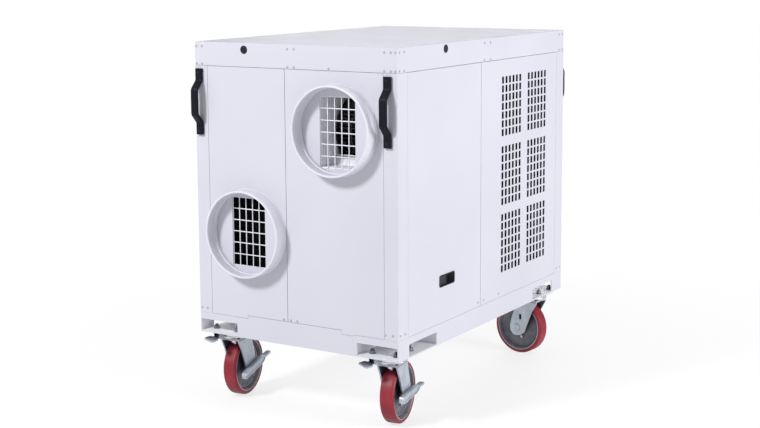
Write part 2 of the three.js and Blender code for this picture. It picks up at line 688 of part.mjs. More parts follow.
// ---- assembly ----
addMesh('base_frame', baseFrame(), WHITE);
addMesh('top_rail', topRail(), WHITE);
addMesh('top_cover', topCover(), WHITE);
addMesh('corner_post_fl', cornerPost(false, false), WHITE);
addMesh('corner_post_fr', cornerPost(true, false), WHITE);
addMesh('corner_post_rl', cornerPost(false, true), WHITE);
addMesh('corner_post_rr', cornerPost(true, true), WHITE);
addMesh('front_panel_left', frontPanelLeft(), WHITE);
addMesh('front_panel_right', frontPanelRight(), WHITE);
addMesh('supply_collar', collar(SUPPLY), WHITE);
addMesh('return_collar', collar(RETURN), WHITE);
addMesh('supply_guard', wireGuard(SUPPLY_OPENING), LIGHT_WIRE);
addMesh('return_guard', wireGuard(RETURN_OPENING), LIGHT_WIRE);
addMesh('grille_panel', grillePanel(), WHITE);
addMesh('access_panel', accessPanel(), WHITE);
addMesh('latch_dish', latchDish(), BLACK);
addMesh('latch_paddle', latchPaddle(), BLACK);
addMesh('left_panel', leftPanel(), WHITE);
addMesh('rear_panel', rearPanel(), WHITE);
for (const end of ['front', 'rear']) {
  for (const side of ['left', 'right']) addMesh(`handle_${end}_${side}`, handle(end, side), BLACK);
}
addMesh('front_plug', frontPlug(), BLACK);
addMesh('side_plug', sidePlug(), BLACK);
addMesh('fan_guard', fanGuard(), DARK_WIRE);
addMesh('condenser_fan', condenserFan(), BLADE_GREY);
addMesh('fan_motor', fanMotor(), MOTOR_GREY);
addMesh('condenser_coil', condenserCoil(), FIN);
addMesh('evaporator_coil', evaporatorCoil(), FIN);
addMesh('compressor', compressor(), COMPRESSOR_BLACK);
addMesh('bulkhead', bulkhead(), GALVANISED);
addMesh('blower_housing', blowerHousing(), GALVANISED);
addMesh('blower_wheel', blowerWheel(), GALVANISED);
addMesh('control_plate', controlPlate(), CONTROL_GREY);
addMesh('thermostat_knob', thermostatKnob(), BLACK);
for (const caster of CASTERS) addCaster(caster);

export default part;
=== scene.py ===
"""A wheeled cabinet air conditioner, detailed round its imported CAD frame. Shapes are in millimetres."""
import json
import math

import bmesh
import bpy
from mathutils import Matrix, Vector
from mathutils.geometry import tessellate_polygon


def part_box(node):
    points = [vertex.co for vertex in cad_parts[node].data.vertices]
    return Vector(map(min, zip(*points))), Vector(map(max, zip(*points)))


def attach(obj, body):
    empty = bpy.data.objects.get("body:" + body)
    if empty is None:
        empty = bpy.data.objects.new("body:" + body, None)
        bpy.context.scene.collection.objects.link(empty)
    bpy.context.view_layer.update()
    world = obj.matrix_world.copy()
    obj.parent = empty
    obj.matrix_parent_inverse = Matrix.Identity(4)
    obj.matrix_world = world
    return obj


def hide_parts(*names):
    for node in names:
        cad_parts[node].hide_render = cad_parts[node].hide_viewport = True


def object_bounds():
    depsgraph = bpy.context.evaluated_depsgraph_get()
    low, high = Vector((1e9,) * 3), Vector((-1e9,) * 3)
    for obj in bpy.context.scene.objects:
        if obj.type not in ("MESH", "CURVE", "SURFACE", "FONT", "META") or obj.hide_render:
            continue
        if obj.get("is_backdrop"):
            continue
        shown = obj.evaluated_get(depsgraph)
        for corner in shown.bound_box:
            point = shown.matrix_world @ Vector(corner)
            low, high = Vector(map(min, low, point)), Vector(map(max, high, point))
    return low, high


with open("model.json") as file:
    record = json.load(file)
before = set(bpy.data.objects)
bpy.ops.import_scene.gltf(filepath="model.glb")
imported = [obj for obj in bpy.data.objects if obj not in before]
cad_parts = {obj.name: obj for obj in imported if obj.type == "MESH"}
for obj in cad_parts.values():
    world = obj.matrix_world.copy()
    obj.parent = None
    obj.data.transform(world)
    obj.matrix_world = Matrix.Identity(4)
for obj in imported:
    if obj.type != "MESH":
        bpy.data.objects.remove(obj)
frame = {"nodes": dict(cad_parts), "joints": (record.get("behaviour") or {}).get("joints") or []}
CAD_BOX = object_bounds()

MM = 0.001


def node_box(node):
    low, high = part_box(node)
    return low / MM, high / MM


# ---- places taken from the frame ----
LEFT, FRONT, UNDER = node_box("base_frame")[0]
RIGHT, REAR = node_box("top_rail")[1].xy
WIDTH, DEPTH = RIGHT - LEFT, REAR - FRONT
JOINTS = {joint["name"]: joint for joint in frame["joints"]}


def cabinet(x, y, z):
    """A point measured from the cabinet's left side, front face and underside."""
    return Vector((LEFT + x, FRONT + y, UNDER + z))


def joint_point(name):
    return Vector(JOINTS[name]["pos_m"]) / MM


# ---- outlines ----
def filleted(points, radius, closed=True, steps=5):
    """An outline or path with its corners rounded; radius is one number, or one for each point."""
    points = [Vector(point) for point in points]
    radii = radius if isinstance(radius, (list, tuple)) else [radius] * len(points)
    result = []
    for i, corner in enumerate(points):
        is_end = not closed and i in (0, len(points) - 1)
        if is_end or radii[i] <= 0:
            result.append(corner)
            continue
        back, ahead = points[i - 1] - corner, points[(i + 1) % len(points)] - corner
        half = back.angle(ahead) / 2
        if half > math.radians(88):
            result.append(corner)
            continue
        reach = min(radii[i] / math.tan(half), back.length * 0.49, ahead.length * 0.49)
        u, v = back.normalized(), ahead.normalized()
        centre = corner + (u + v).normalized() * reach / math.cos(half)
        start, end = corner + u * reach - centre, corner + v * reach - centre
        arc = start.angle(end)
        for k in range(steps + 1):
            share = k / steps
            a = math.sin((1 - share) * arc) / math.sin(arc)
            b = math.sin(share * arc) / math.sin(arc)
            result.append(centre + start * a + end * b)
    return result


def rectangle(u0, u1, v0, v1, radius=0.0, steps=5):
    corners = [(u0, v0), (u1, v0), (u1, v1), (u0, v1)]
    return filleted(corners, radius, steps=steps)


def ellipse(a, b, count, centre=(0, 0)):
    turns = [2 * math.pi * k / count for k in range(count)]
    return [(centre[0] + a * math.cos(t), centre[1] + b * math.sin(t)) for t in turns]


def square(reach):
    """The four corners at a reach either side of the middle."""
    return [(u, v) for u in (-reach, reach) for v in (-reach, reach)]


# ---- shells: a list of points and a list of faces ----
def prism(outline, t0, t1, axis="Z", holes=()):
    """An outline carried along an axis: X takes (y, z), Y takes (x, z) and Z takes (x, y)."""
    order = {"X": (2, 0, 1), "Y": (0, 2, 1), "Z": (0, 1, 2)}[axis]
    loops = [list(outline), *[list(hole) for hole in holes]]
    points, faces, low, high = [], [], [], []
    for loop in loops:
        start, count = len(points), len(loop)
        for t, ids in ((t0, low), (t1, high)):
            for u, v in loop:
                flat = (u, v, t)
                ids.append(len(points))
                points.append(Vector([flat[k] for k in order]))
        for i in range(count):
            j = (i + 1) % count
            faces.append((start + i, start + j, start + count + j, start + count + i))
    if holes:
        for a, b, c in tessellate_polygon([[Vector((u, v, 0)) for u, v in loop] for loop in loops]):
            faces.append((low[a], low[b], low[c]))
            faces.append((high[c], high[b], high[a]))
    else:
        faces += [tuple(reversed(low)), tuple(high)]
    return points, faces


def box(x0, x1, y0, y1, z0, z1):
    return prism(rectangle(x0, x1, y0, y1), z0, z1)


def loft(loops, closed=False):
    """Loops of equally many points joined in turn, with flat ends unless it closes on itself."""
    count = len(loops[0])
    points = [Vector(point) for loop in loops for point in loop]
    faces = []
    for k in range(len(loops) if closed else len(loops) - 1):
        a, b = k * count, ((k + 1) % len(loops)) * count
        for i in range(count):
            j = (i + 1) % count
            faces.append((a + i, a + j, b + j, b + i))
    if not closed:
        last = (len(loops) - 1) * count
        faces += [tuple(reversed(range(count))), tuple(range(last, last + count))]
    return points, faces


def sweep(path, section, closed=False, side=None):
    """A section of (side, up) offsets carried along a path without twisting."""
    points = [Vector(point) for point in path]
    loops = []
    for i, point in enumerate(points):
        if closed:
            ahead, back = points[(i + 1) % len(points)], points[i - 1]
        else:
            ahead, back = points[min(i + 1, len(points) - 1)], points[max(i - 1, 0)]
        tangent = (ahead - back).normalized()
        side = Vector(side) if side is not None else tangent.orthogonal()
        side = (side - tangent * side.dot(tangent)).normalized()
        up = tangent.cross(side)
        loops.append([point + side * a + up * b for a, b in section])
    return loft(loops, closed)


def wire(path, radius, closed=False, sides=12):
    return sweep(path, ellipse(radius, radius, sides), closed)


def hoop(radius, wire_radius, height, count=72):
    return wire([(u, v, height) for u, v in ellipse(radius, radius, count)], wire_radius, closed=True)


def lathe(profile, sides):
    """A profile of (radius, height) turned about Z, closed on itself unless both ends are on the axis."""
    count = len(profile)
    on_axis = profile[0][0] == 0 and profile[-1][0] == 0
    points, faces = [], []
    for k in range(sides):
        turn = 2 * math.pi * k / sides
        points += [Vector((r * math.cos(turn), r * math.sin(turn), h)) for r, h in profile]
        a, b = k * count, ((k + 1) % sides) * count
        for i in range(count - 1 if on_axis else count):
            j = (i + 1) % count
            faces.append((a + i, b + i, b + j, a + j))
    return points, faces


ALONG = {
    "X": Matrix.Rotation(math.pi / 2, 4, "Y"),
    "Y": Matrix.Rotation(-math.pi / 2, 4, "X"),
    "-Y": Matrix.Rotation(math.pi / 2, 4, "X"),
}


def moved(shell, *matrices):
    points, faces = shell
    for matrix in matrices:
        points = [matrix @ point for point in points]
    return points, faces


def shifted(shell, x=0.0, y=0.0, z=0.0):
    return moved(shell, Matrix.Translation((x, y, z)))


def spun(shell, degrees):
    return moved(shell, Matrix.Rotation(math.radians(degrees), 4, "Z"))


def around(shell, count, start=0):
    """Copies of a shell spaced evenly about Z."""
    return [spun(shell, start + 360 / count * k) for k in range(count)]


def laid(axis, x, y, z):
    """The matrices that lay a shell made on Z along another axis, at a point."""
    return ALONG[axis], Matrix.Translation((x, y, z))


def aimed(point, direction):
    """The matrix that stands a shell made on Z at a point, looking along a direction."""
    turn = Vector(direction).to_track_quat("Z", "Y").to_matrix().to_4x4()
    return Matrix.Translation(point) @ turn


# ---- materials ----
BLACK, WHITE = (0, 0, 0), (1, 1, 1)
MIDDLE = (0.3, 0.7)  # the part of a noise's range that most of it falls in


def set_sockets(node, sockets):
    """Each socket takes a plain value, or is linked to another node's output."""
    for socket, value in sockets.items():
        if isinstance(value, bpy.types.NodeSocket):
            node.id_data.links.new(value, node.inputs[socket])
        else:
            node.inputs[socket].default_value = value


def new_node(tree, kind, sockets, **settings):
    made = tree.nodes.new(kind)
    for key, value in settings.items():
        setattr(made, key, value)
    set_sockets(made, sockets)
    return made


class Surface:
    """A Principled material whose colour, roughness and bump come from noise in the piece's own space."""

    def __init__(self, name, roughness, metallic=0.0, **sockets):
        self.material = bpy.data.materials.new(name)
        self.material.use_nodes = True
        self.shader = self.material.node_tree.nodes["Principled BSDF"]
        self.roughness = roughness
        self.last_bump = None
        set_sockets(self.shader, {"Metallic": metallic, "Roughness": roughness})
        set_sockets(self.shader, {socket.replace("_", " "): value for socket, value in sockets.items()})
        self.place = self.node("ShaderNodeTexCoord", {}).outputs["Object"]

    def node(self, kind, sockets, **settings):
        return new_node(self.material.node_tree, kind, sockets, **settings)

    def cells(self, scale):
        return self.node("ShaderNodeTexVoronoi", {"Vector": self.place, "Scale": scale}).outputs["Color"]

    def noise(self, scale, detail, stretch=(1, 1, 1)):
        mapping = self.node("ShaderNodeMapping", {"Vector": self.place, "Scale": stretch})
        return self.node("ShaderNodeTexNoise", {
            "Vector": mapping.outputs["Vector"], "Scale": scale, "Detail": detail}).outputs["Fac"]

    def ramp(self, value, low, high, start, end):
        made = self.node("ShaderNodeValToRGB", {"Fac": value})
        for stop, position, colour in zip(made.color_ramp.elements, (low, high), (start, end)):
            stop.position = position
            stop.color = (*colour, 1)
        return made.outputs["Color"]

    def set_colour(self, colour):
        self.base = colour
        set_sockets(self.shader, {"Base Color": colour})

    def blend_colour(self, share, other):
        """The colour so far gives way to a plain one by a linked share."""
        self.set_colour(self.node("ShaderNodeMixRGB", {
            "Fac": share, "Color1": self.base, "Color2": (*other, 1)}).outputs["Color"])

    def colour(self, dark, light, scale, detail=3.0, stretch=(1, 1, 1)):
        """Blotches from dark to light, soft enough to read as a finish and not as a pattern."""
        self.set_colour(self.ramp(self.noise(scale, detail, stretch), *MIDDLE, dark, light))

    def rough(self, spread, scale):
        fit = self.node("ShaderNodeMapRange", {
            "Value": self.noise(scale, 4.0), "From Min": MIDDLE[0], "From Max": MIDDLE[1],
            "To Min": self.roughness - spread, "To Max": self.roughness + spread})
        set_sockets(self.shader, {"Roughness": fit.outputs["Result"]})

    def grain(self, scale, depth_mm, detail=2.0, stretch=(1, 1, 1)):
        """A noise bump, laid over any bump that is already there."""
        bump = self.node("ShaderNodeBump", {
            "Height": self.noise(scale, detail, stretch), "Distance": depth_mm * MM, "Strength": 1.0})
        if self.last_bump is not None:
            set_sockets(bump, {"Normal": self.last_bump})
        self.last_bump = bump.outputs["Normal"]
        set_sockets(self.shader, {"Normal": self.last_bump})

    def paint_edge_highlights(self, highlight_colour, start=0.53, end=0.6):
        """Convex edges painted towards a lighter colour, broken up by noise: a painted highlight."""
        pointiness = self.node("ShaderNodeNewGeometry", {}).outputs["Pointiness"]
        edge = self.ramp(pointiness, start, end, BLACK, WHITE)
        patch = self.ramp(self.noise(140, 5.0), 0.45, 0.65, BLACK, WHITE)
        both = self.node("ShaderNodeMath", {0: edge, 1: patch}, operation="MULTIPLY")
        self.blend_colour(both.outputs[0], highlight_colour)

    def paint_shade_in_hollows(self, reach_mm, dark):
        """Places shut in by other surfaces within a reach are darkened by ambient occlusion: painted shade
        in hollows and crevices.
        """
        hollow = self.node("ShaderNodeAmbientOcclusion", {"Distance": reach_mm * MM}, samples=8)
        self.blend_colour(self.ramp(hollow.outputs["AO"], 0.25, 0.85, WHITE, BLACK), dark)

    def fade_out(self, near, far, least):
        """The finish gives way to plain white, from a least share of it, over two distances in metres."""
        distance = self.node("ShaderNodeVectorMath", {0: self.place}, operation="LENGTH")
        share = self.node("ShaderNodeMapRange", {
            "Value": distance.outputs["Value"], "From Min": near, "From Max": far, "To Min": least})
        white = self.node("ShaderNodeEmission", {"Color": (*WHITE, 1)})
        blend = self.node("ShaderNodeMixShader", {
            "Fac": share.outputs["Result"], 1: self.shader.outputs["BSDF"], 2: white.outputs["Emission"]})
        set_sockets(self.material.node_tree.nodes["Material Output"], {"Surface": blend.outputs["Shader"]})


def powder_coat(name, dark, light, roughness, specular=0.25):
    coat = Surface(name, roughness, Specular_IOR_Level=specular)
    coat.colour(dark, light, 2.5)
    coat.rough(0.05, 9)
    coat.grain(520, 0.05)
    return coat


def plain_finish(name, roughness, dark, light, scale, rough, grain, detail=3.0, **sockets):
    """Blotches from dark to light; rough is (spread, scale) and grain is (scale, depth in mm)."""
    finish = Surface(name, roughness, **sockets)
    finish.colour(dark, light, scale, detail)
    finish.rough(*rough)
    finish.grain(*grain)
    return finish


def make_materials():
    made = {}
    made["white"] = powder_coat("white_powder_coat", (0.53, 0.53, 0.60), (0.56, 0.56, 0.63), 0.50)
    made["white"].grain(3.2, 1.2, detail=1.0)
    # The collars carry the panels' white paint; this paler copy is painted light that brightens their rims
    # and insides.
    made["collar"] = powder_coat("white_collar_paint_paled_as_light", (0.60, 0.60, 0.67), (0.64, 0.64, 0.71), 0.42)
    # The rivets carry the cabinet's white paint; this darker grey is painted shade that makes them read as
    # small grey dots.
    made["rivet"] = powder_coat("rivet_paint_darkened_as_shade", (0.33, 0.33, 0.38), (0.41, 0.41, 0.46), 0.40)
    made["handle"] = powder_coat("black_handle_paint", (0.004, 0.004, 0.010), (0.008, 0.008, 0.016),
                                 0.45, 0.12)
    # Painted highlight: the black paint lightens along the grip's convex edges.
    made["handle"].paint_edge_highlights((0.06, 0.06, 0.075), 0.56, 0.64)
    # Painted light: a paler copy of the cabinet's white, so the duct behind the supply opening and the
    # base's pocket insides look lit.
    made["housing"] = powder_coat("pale_duct_paint_as_light", (0.76, 0.76, 0.80), (0.82, 0.82, 0.86), 0.50)

    made["plastic"] = plain_finish(
        "black_moulded_plastic", 0.42, (0.010, 0.010, 0.016), (0.020, 0.020, 0.028), 30, (0.08, 40),
        (1400, 0.03), Specular_IOR_Level=0.2)
    made["pad"] = plain_finish(
        "dark_grip_rubber", 0.55, (0.16, 0.16, 0.17), (0.24, 0.24, 0.25), 60, (0.08, 80), (900, 0.05))
    made["light_wire"] = plain_finish(
        "white_coated_wire", 0.42, (0.70, 0.70, 0.77), (0.78, 0.78, 0.85), 40, (0.06, 60), (700, 0.04))
    made["dark_wire"] = plain_finish(
        "dark_coated_wire", 0.40, (0.03, 0.03, 0.035), (0.05, 0.05, 0.058), 40, (0.06, 60), (700, 0.04),
        metallic=0.2)
    made["grey"] = plain_finish(
        "grey_control_enamel", 0.45, (0.085, 0.09, 0.10), (0.11, 0.115, 0.125), 20, (0.05, 60),
        (900, 0.03))

    made["zinc"] = plain_finish(
        "zinc_plated_steel", 0.46, (0.37, 0.42, 0.48), (0.50, 0.54, 0.60), 26, (0.09, 60),
        (260, 0.05, 2.0, (1, 1, 5)), 5.0, metallic=0.6)
    # Painted highlight: the zinc lightens along its convex edges.
    made["zinc"].paint_edge_highlights((0.80, 0.82, 0.85))
    # Painted shade: the zinc darkens within 45 mm of other surfaces, inside the forks and round the wheels.
    made["zinc"].paint_shade_in_hollows(45, (0.030, 0.030, 0.045))
    made["bright"] = plain_finish(
        "bright_zinc_hardware", 0.30, (0.60, 0.61, 0.64), (0.74, 0.75, 0.77), 60, (0.08, 120),
        (500, 0.04), 4.0, metallic=0.9)
    made["iron"] = plain_finish(
        "painted_cast_iron", 0.52, (0.095, 0.095, 0.118), (0.165, 0.165, 0.190), 34, (0.10, 50),
        (420, 0.22, 4.0), 5.0, metallic=0.35)
    # Painted shade: the cast hub darkens where other parts shut it in.
    made["iron"].paint_shade_in_hollows(45, (0.020, 0.020, 0.030))
    # Painted highlight: a bright metal on the hub's rim rings stands in for the light arcs along the rim's
    # edges.
    made["rim"] = plain_finish(
        "rim_edge_painted_highlight", 0.34, (0.44, 0.41, 0.45), (0.56, 0.52, 0.56), 70, (0.08, 90), (600, 0.05),
        4.0, metallic=0.75)
    made["tread"] = plain_finish(
        "red_polyurethane", 0.48, (0.195, 0.014, 0.026), (0.265, 0.022, 0.036), 22, (0.08, 60),
        (160, 0.10, 4.0), 4.0, Specular_IOR_Level=0.28, Subsurface_Weight=0.08, Subsurface_Scale=0.01)
    # Painted shade: the red tread darkens under the crown and beside the fork legs.
    made["tread"].paint_shade_in_hollows(25, (0.060, 0.006, 0.012))

    sheet = made["sheet"] = Surface("galvanised_sheet", 0.36, metallic=0.75)
    sheet.set_colour(sheet.ramp(sheet.cells(70), 0.1, 0.9, (0.50, 0.51, 0.54), (0.68, 0.69, 0.72)))
    sheet.rough(0.10, 30)
    # Painted shade: the fins are near black so the coils read as the dark shade behind the return opening
    # and the side grille's slots.
    made["fins"] = plain_finish(
        "fin_stock_darkened_as_shade", 0.70, (0.010, 0.010, 0.012), (0.022, 0.022, 0.026), 50, (0.08, 80),
        (300, 0.05), Specular_IOR_Level=0.12)
    made["copper"] = plain_finish(
        "dull_copper_tube", 0.42, (0.22, 0.085, 0.045), (0.36, 0.15, 0.08), 40, (0.1, 60), (300, 0.05),
        5.0, metallic=0.9)
    made["shell"] = plain_finish(
        "gloss_black_shell", 0.24, (0.009, 0.009, 0.010), (0.018, 0.018, 0.020), 14, (0.06, 30),
        (220, 0.12), metallic=0.1)
    made["motor"] = plain_finish(
        "grey_motor_paint", 0.42, (0.06, 0.065, 0.07), (0.09, 0.095, 0.10), 30, (0.08, 50), (500, 0.08),
        metallic=0.3)
    rolled = (1, 1, 12)
    blade = made["blade"] = Surface("rolled_fan_blade", 0.38, metallic=0.7)
    blade.colour((0.28, 0.29, 0.31), (0.40, 0.41, 0.43), 8, 5.0, rolled)
    blade.rough(0.08, 20)
    blade.grain(200, 0.04, stretch=rolled)
    lens = made["lens"] = Surface("green_lamp_lens", 0.15, Transmission_Weight=0.3)
    lens.colour((0.02, 0.22, 0.06), (0.03, 0.30, 0.08), 60)
    lens.grain(400, 0.02)
    return {key: surface.material for key, surface in made.items()}


MATERIAL = make_materials()


# ---- pieces ----
def add_object(name, data):
    obj = bpy.data.objects.new(name, data)
    bpy.context.scene.collection.objects.link(obj)
    return obj


def piece(name, shells, material, body="cabinet", replaces=(), place=(),
          bevel=0.0, smooth=35):
    """One object riding on a CAD body, its closed shells put in the row frame by the place's matrices."""
    build = bmesh.new()
    for shell in shells:
        points, faces = moved(shell, *place)
        vertices = [build.verts.new(point * MM) for point in points]
        for face in faces:
            build.faces.new([vertices[i] for i in face])
    bmesh.ops.remove_doubles(build, verts=build.verts, dist=1e-6)
    bmesh.ops.recalc_face_normals(build, faces=build.faces)
    mesh = bpy.data.meshes.new(name)
    build.to_mesh(mesh)
    build.free()
    mesh.materials.append(MATERIAL[material])
    mesh.shade_smooth()
    obj = add_object(name, mesh)
    if bevel:
        round_edges(obj, bevel, smooth)
    else:
        mesh.set_sharp_from_angle(angle=math.radians(smooth))
    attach(obj, body)
    if replaces:
        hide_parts(*replaces)
    return obj


def round_edges(obj, radius, angle=35):
    rounding = obj.modifiers.new("rounded_edges", "BEVEL")
    rounding.width = radius * MM
    rounding.segments = 3
    rounding.limit_method = "ANGLE"
    rounding.angle_limit = math.radians(angle)
    rounding.use_clamp_overlap = True
    rounding.harden_normals = True


# ---- sheet metal that keeps its CAD shape: each material's nodes, and how far their edges are rounded ----
SHEET_METAL = {
    "white": {
        "base_frame": 1.2, "top_rail": 1.8, "top_cover": 0.8,
        "corner_post_fl": 1.8, "corner_post_fr": 1.8, "corner_post_rl": 1.8, "corner_post_rr": 1.8,
        "front_panel_left": 1.0, "front_panel_right": 1.0, "access_panel": 1.0, "grille_panel": 0.5,
        "left_panel": 1.0, "rear_panel": 1.0},
    "sheet": {"bulkhead": 0.6},
    "housing": {"blower_housing": 0.8},
}


def finish_sheet_metal():
    for material, nodes in SHEET_METAL.items():
        for name, radius in nodes.items():
            obj = frame["nodes"][name]
            obj.data.materials.clear()
            obj.data.materials.append(MATERIAL[material])
            weld = obj.modifiers.new("joined_corners", "WELD")
            weld.merge_threshold = 1e-5
            round_edges(obj, radius)
    paint_light_into_pockets()


def paint_light_into_pockets():
    """The inner faces of the base's pockets take the paler white: painted light that stands in for light
    reaching into them.
    """
    obj = frame["nodes"]["base_frame"]
    low, high = node_box("base_frame")
    obj.data.materials.append(MATERIAL["housing"])
    for polygon in obj.data.polygons:
        centre = polygon.center / MM
        if all(low[k] + 1 < centre[k] < high[k] - 1 for k in range(3)):
            polygon.material_index = 1


# ---- fasteners ----
def rivet(radius=4.2, height=1.7):
    """A blind rivet's dome with the small hollow that its stem leaves."""
    dome = [(radius * math.cos(a), height * math.sin(a)) for a in (0, 0.35, 0.7, 1.0, 1.25)]
    return lathe([(0, -0.5), (radius, -0.5), *dome, (0.9, height * 0.55), (0, height * 0.5)], 20)


def screw_head(radius, height):
    top = filleted([(radius, 0), (radius, height), (radius * 0.45, height)], radius * 0.4, closed=False)
    drive = [(radius * 0.4, height * 0.35), (0, height * 0.3)]
    return lathe([(0, -1), (radius, -1), *top, *drive], 24)


def hexagon(radius, t0, t1):
    return prism(ellipse(radius, radius, 6), t0, t1)


def washer(outer, inner, t0, t1):
    return lathe([(inner, t0), (outer, t0), (outer, t1), (inner, t1)], 32)


def bolt_end(radius, t0, t1):
    """A threaded end with a chamfered tip."""
    pitch, profile = 1.5, [(0, t0)]
    turns = int((t1 - t0 - 1) / pitch)
    for k in range(turns):
        start = t0 + k * pitch
        profile += [(radius, start + 0.2), (radius, start + pitch * 0.45),
                    (radius - 0.6, start + pitch * 0.75)]
    return lathe([*profile, (radius - 0.4, t1 - 0.8), (radius - 1.4, t1), (0, t1)], 28)


# rivets, by height above the cabinet's underside and by distance from its left side or its front
BAND_ROWS = (965, 908)
LOW_ROW = 84
FRONT_RIVETS = {"band": (7, 30, 373, 398, 733, 757, 773), "single": [(530, 908)],
                "low": (8, 30, 345, 373, 398, 733, 760)}
SIDE_RIVETS = {"band": (12, 40, 566, 610, 1160, 1188), "low": (12, 42, 527, 566, 680, 1160, 1188)}


def rivet_places():
    """(name, direction, points) for each face of the cabinet, the rear and left mirroring the others."""
    front = [(x, z) for x in FRONT_RIVETS["band"] for z in BAND_ROWS]
    front += [*FRONT_RIVETS["single"], *[(x, LOW_ROW) for x in FRONT_RIVETS["low"]]]
    side = [(y, z) for y in SIDE_RIVETS["band"] for z in BAND_ROWS]
    side += [(y, LOW_ROW) for y in SIDE_RIVETS["low"]]
    yield "front", (0, -1, 0), [cabinet(x, 0, z) for x, z in front]
    yield "right", (1, 0, 0), [cabinet(WIDTH, y, z) for y, z in side]
    yield "left", (-1, 0, 0), [cabinet(0, y, z) for y, z in side]
    yield "rear", (0, 1, 0), [cabinet(WIDTH - x, DEPTH, z) for x, z in front]


def make_rivets():
    for face, direction, points in rivet_places():
        shells = [moved(rivet(), aimed(point, direction)) for point in points]
        piece(f"rivets_{face}", shells, "rivet")


# ---- duct collars ----
def make_collars():
    for name in ("supply", "return"):
        low, high = node_box(f"{name}_collar")
        centre = (low + high) / 2
        radius = (high.x - low.x) / 2
        length = high.y - low.y
        lip, step_radius, step_length = 4.0, radius - 11, 14
        outline = [
            (step_radius, 0), (radius, 0), (radius, length), (radius - 2 * lip, length),
            (radius - 2 * lip, step_length), (step_radius, step_length),
        ]
        profile = filleted(outline, [0.6, 0.6, lip, lip, 2, 2.5], steps=8)
        bead = filleted([(radius - 1, 0), (radius + 2.6, 0), (radius - 1, 3.6)], [0, 0.4, 0], steps=3)
        place = laid("-Y", centre.x, high.y, centre.z)
        piece(f"{name}_duct_collar", [lathe(profile, 128), lathe(bead, 128)], "collar",
              replaces=[f"{name}_collar"], place=place)


# ---- welded wire guards behind the duct openings ----
def make_guards():
    columns, rows = 5, 6
    wire_radius, border, overlap = 1.7, 5, 0.8
    for name in ("supply", "return"):
        low, high = node_box(f"{name}_guard")
        middle = (low.y + high.y) / 2
        pitch_x = (high.x - low.x - 2 * border) / columns
        pitch_z = (high.z - low.z - 2 * border) / rows
        shells = []
        for i in range(columns + 1):
            x, y = low.x + border + i * pitch_x, middle - overlap
            shells.append(wire([(x, y, low.z + 1), (x, y, high.z - 1)], wire_radius))
        for j in range(rows + 1):
            y, z = middle + overlap, low.z + border + j * pitch_z
            shells.append(wire([(low.x + 1, y, z), (high.x - 1, y, z)], wire_radius))
        piece(f"{name}_wire_guard", shells, "light_wire", replaces=[f"{name}_guard"])


# ---- carrying handles ----
def make_handles():
    thickness, half_width, arm_radius = 10.0, 14, 15
    foot, bend, screw_inset = 43, 72, 16
    for end in ("front", "rear"):
        for side in ("left", "right"):
            node = f"handle_{end}_{side}"
            low, high = node_box(node)
            out = -1 if end == "front" else 1
            face = high.y if end == "front" else low.y
            proud, length, x = high.y - low.y, high.z - low.z, (low.x + high.x) / 2
            near, far = thickness / 2, proud - thickness / 2
            half = [(near, 3), (near, foot), (far, bend)]
            route = [*half, *[(d, length - z) for d, z in reversed(half)]]
            rounded = filleted(route, arm_radius, closed=False, steps=8)
            path = [(x, face + out * d, low.z + z) for d, z in rounded]
            section = rectangle(-half_width, half_width, -thickness / 2, thickness / 2, thickness * 0.42, 4)
            grip = sweep(path, section, side=(1, 0, 0))
            piece(f"carry_{node}", [grip], "handle", replaces=[node], bevel=1.2)
            spots = [Vector((x, face + out * (thickness - 0.6), low.z + z))
                     for z in (screw_inset, length - screw_inset)]
            screws = [moved(screw_head(5, 2.4), aimed(spot, (0, out, 0))) for spot in spots]
            piece(f"{node}_screws", screws, "plastic")


# ---- latch, plugs ----
def make_latch():
    low, high = node_box("latch_dish")
    face, depth = RIGHT + 0.3, RIGHT + 0.3 - low.x

    def ring(inset, x, radius):
        flat = rectangle(low.y + inset, high.y - inset, low.z + inset, high.z - inset, radius, steps=6)
        return [(x, y, z) for y, z in flat]

    loops = [
        ring(3.6, face - depth, 3.6), ring(3.4, face - 0.1, 4.4), ring(0.2, face, 7),
        ring(0, face + 0.9, 7), ring(0.9, high.x, 6.4), ring(3.2, high.x, 5), ring(4.4, high.x - 1.4, 4.2),
        ring(6.4, face - depth + 4.5, 3.4), ring(8, face - depth + 2.2, 2.6),
    ]
    piece("latch_pull_dish", [loft(loops)], "plastic", "access_door", ["latch_dish"])

    low, high = node_box("latch_paddle")
    front = [(0.0, 0.0), (0.0, 1.4), (0.8, 2.4), (1.6, 2.6), (5.0, 1.2), (9.0, 1.0)]
    outer = []
    for inset, rise in front:
        flat = rectangle(low.y + inset, high.y - inset, low.z + inset, high.z - inset, 3.4, steps=5)
        outer.append([(high.x - 2.6 + rise, y, z) for y, z in flat])
    back = [(high.x - 4, point[1], point[2]) for point in outer[0]]
    lip = shifted(box(-4, 0, -2, 2, -10, 10), high.x - 4.8, high.y - 3, (low.z + high.z) / 2)
    piece("latch_pull_paddle", [loft([back, *outer]), lip], "plastic", "latch_paddle",
          ["latch_paddle"], smooth=50)


def make_plugs():
    for node, direction in (("front_plug", (0, -1, 0)), ("side_plug", (1, 0, 0))):
        low, high = node_box(node)
        point = (low + high) / 2
        radius = (high.z - low.z) / 2
        if node == "front_plug":
            point.y = FRONT
        else:
            point.x = RIGHT
        profile = [(0, -3), (radius - 3, -3), (radius - 3, 0.1), (radius, 0.1), (radius, 0.7),
                   (radius - 0.7, 1.5), (radius - 3.4, 2.0), (radius - 4.2, 1.3), (radius - 5, 1.1),
                   (0, 1.4)]
        piece(f"{node}_cap", [lathe(profile, 40)], "plastic", replaces=[node],
              place=[aimed(point, direction)])


# ---- condenser fan, its motor and guard ----
FAN = joint_point("condenser_fan_spin")


